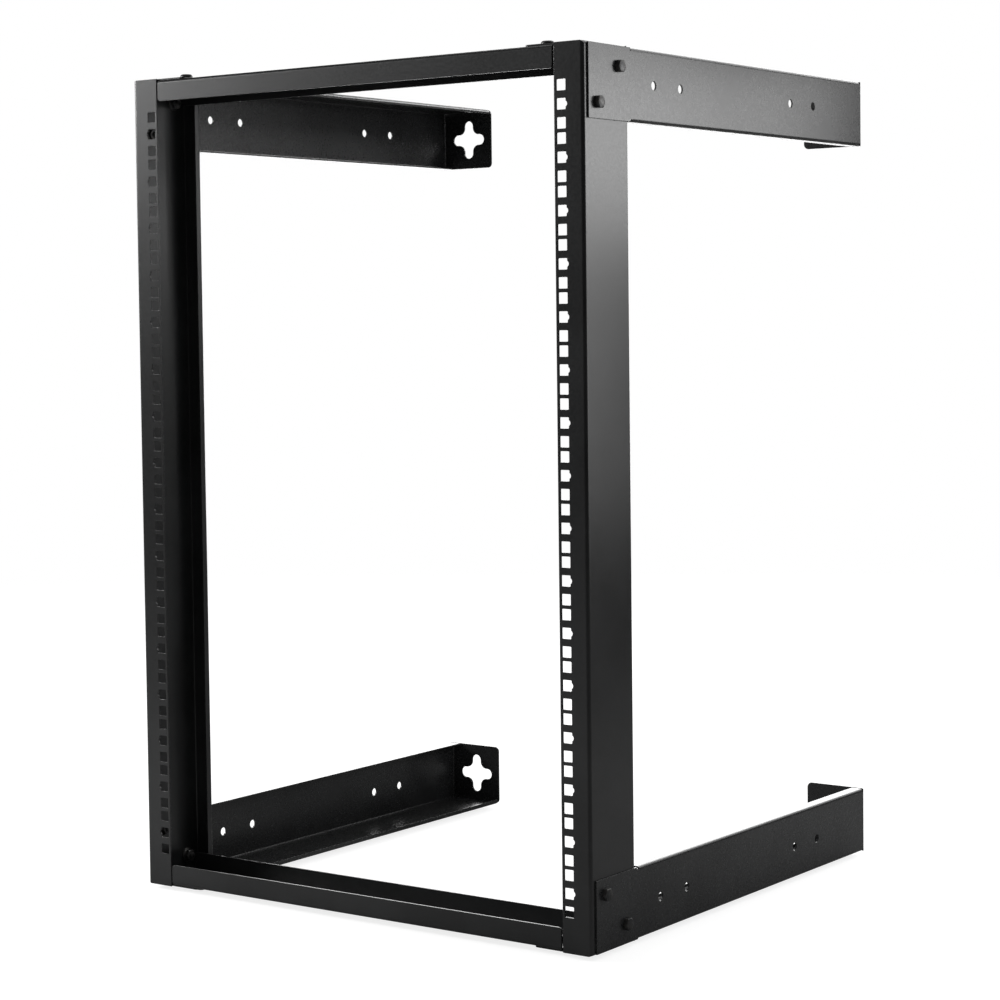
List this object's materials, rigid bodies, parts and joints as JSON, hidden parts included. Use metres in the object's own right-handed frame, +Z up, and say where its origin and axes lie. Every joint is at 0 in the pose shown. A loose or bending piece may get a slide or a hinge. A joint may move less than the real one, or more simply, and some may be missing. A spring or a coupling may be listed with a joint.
{
  "type": "wall mount open frame rack",
  "caption": "Open wall rack of folded black steel: two posts with square equipment holes, two channel rails and four arms that carry the frame off the wall.",
  "frame": {"origin": "middle of the object's base: half way between the front face and the wall, at the underside of the lowest screw heads", "axes": "+X to the right seen from the front, +Y back to the wall, +Z up"},
  "size_m": [0.521, 0.5, 0.7784],
  "materials": {
    "post_coat": "satin black powder coat, fine texture",
    "rail_coat": "satin black powder coat, fine texture",
    "arm_coat": "satin black powder coat, fine texture",
    "black_bolt": "black oxide, slightly oily",
    "black_nut": "black oxide"
  },
  "bodies": {
    "root": {"right_post": "post_coat", "left_post": "post_coat", "top_rail": "rail_coat", "bottom_rail": "rail_coat", "upper_right_arm": "arm_coat", "upper_right_bolt_front": "black_bolt", "upper_right_flange_nut_front": "black_nut", "upper_right_bolt_rear": "black_bolt", "upper_right_flange_nut_rear": "black_nut", "upper_right_screw": "black_bolt", "upper_right_screw_nut": "black_nut", "upper_left_arm": "arm_coat", "upper_left_bolt_front": "black_bolt", "upper_left_flange_nut_front": "black_nut", "upper_left_bolt_rear": "black_bolt", "upper_left_flange_nut_rear": "black_nut", "upper_left_screw": "black_bolt", "upper_left_screw_nut": "black_nut", "lower_right_arm": "arm_coat", "lower_right_bolt_front": "black_bolt", "lower_right_flange_nut_front": "black_nut", "lower_right_bolt_rear": "black_bolt", "lower_right_flange_nut_rear": "black_nut", "lower_right_screw": "black_bolt", "lower_right_screw_nut": "black_nut", "lower_left_arm": "arm_coat", "lower_left_bolt_front": "black_bolt", "lower_left_flange_nut_front": "black_nut", "lower_left_bolt_rear": "black_bolt", "lower_left_flange_nut_rear": "black_nut", "lower_left_screw": "black_bolt", "lower_left_screw_nut": "black_nut"}
  },
  "joints": []
}
